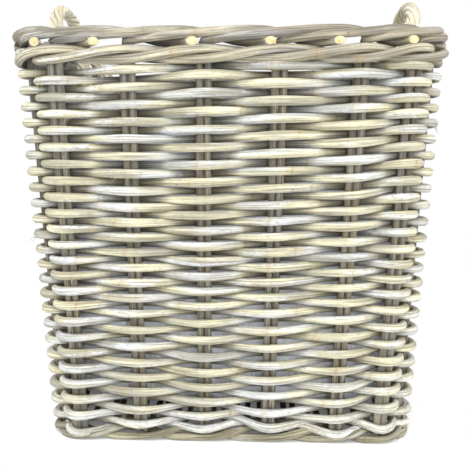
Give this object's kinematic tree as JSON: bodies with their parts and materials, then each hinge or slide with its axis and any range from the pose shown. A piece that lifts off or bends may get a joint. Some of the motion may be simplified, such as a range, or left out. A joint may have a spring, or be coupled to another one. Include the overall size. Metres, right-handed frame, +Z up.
{
  "type": "rattan planter basket",
  "caption": "Square rattan planter basket, slightly wider at the top, with a rolled border, twisted ear handles and a plastic liner.",
  "frame": {"origin": "on the floor, under the middle of the basket", "axes": "+Z up, front towards -Y, +X to the right, the ear handles on the left and right sides"},
  "size_m": [0.457, 0.447, 0.5018],
  "materials": {
    "stake_cane": "grey-washed, matte",
    "weaver_cane": "grey-washed, matte",
    "wale_cane": "grey-washed, matte",
    "handle_cane": "grey-washed, matte",
    "base_cane": "grey-washed, matte",
    "liner_sheet": "thin crinkled film"
  },
  "bodies": {
    "root": {"stake_pair_01": "stake_cane", "stake_pair_02": "stake_cane", "stake_pair_03": "stake_cane", "stake_pair_04": "stake_cane", "stake_pair_05": "stake_cane", "stake_pair_06": "stake_cane", "stake_pair_07": "stake_cane", "stake_pair_08": "stake_cane", "stake_pair_09": "stake_cane", "stake_pair_10": "stake_cane", "stake_pair_11": "stake_cane", "stake_pair_12": "stake_cane", "stake_pair_13": "stake_cane", "stake_pair_14": "stake_cane", "stake_pair_15": "stake_cane", "stake_pair_16": "stake_cane", "stake_pair_17": "stake_cane", "stake_pair_18": "stake_cane", "stake_pair_19": "stake_cane", "stake_pair_20": "stake_cane", "stake_pair_21": "stake_cane", "stake_pair_22": "stake_cane", "stake_pair_23": "stake_cane", "stake_pair_24": "stake_cane", "weaver_a_1": "weaver_cane", "weaver_a_2": "weaver_cane", "weaver_a_3": "weaver_cane", "weaver_a_4": "weaver_cane", "weaver_a_5": "weaver_cane", "weaver_a_6": "weaver_cane", "weaver_a_7": "weaver_cane", "weaver_a_8": "weaver_cane", "weaver_b_1": "weaver_cane", "weaver_b_2": "weaver_cane", "weaver_b_3": "weaver_cane", "weaver_b_4": "weaver_cane", "weaver_b_5": "weaver_cane", "weaver_b_6": "weaver_cane", "weaver_b_7": "weaver_cane", "weaver_b_8": "weaver_cane", "top_wale_1": "wale_cane", "top_wale_2": "wale_cane", "top_wale_3": "wale_cane", "foot_wale_1": "wale_cane", "foot_wale_2": "wale_cane", "handle_left_strand_1": "handle_cane", "handle_left_strand_2": "handle_cane", "handle_left_strand_3": "handle_cane", "handle_right_strand_1": "handle_cane", "handle_right_strand_2": "handle_cane", "handle_right_strand_3": "handle_cane", "base_stick_1": "base_cane", "base_stick_2": "base_cane", "base_stick_3": "base_cane", "base_weaver": "base_cane", "liner": "liner_sheet"}
  },
  "joints": []
}
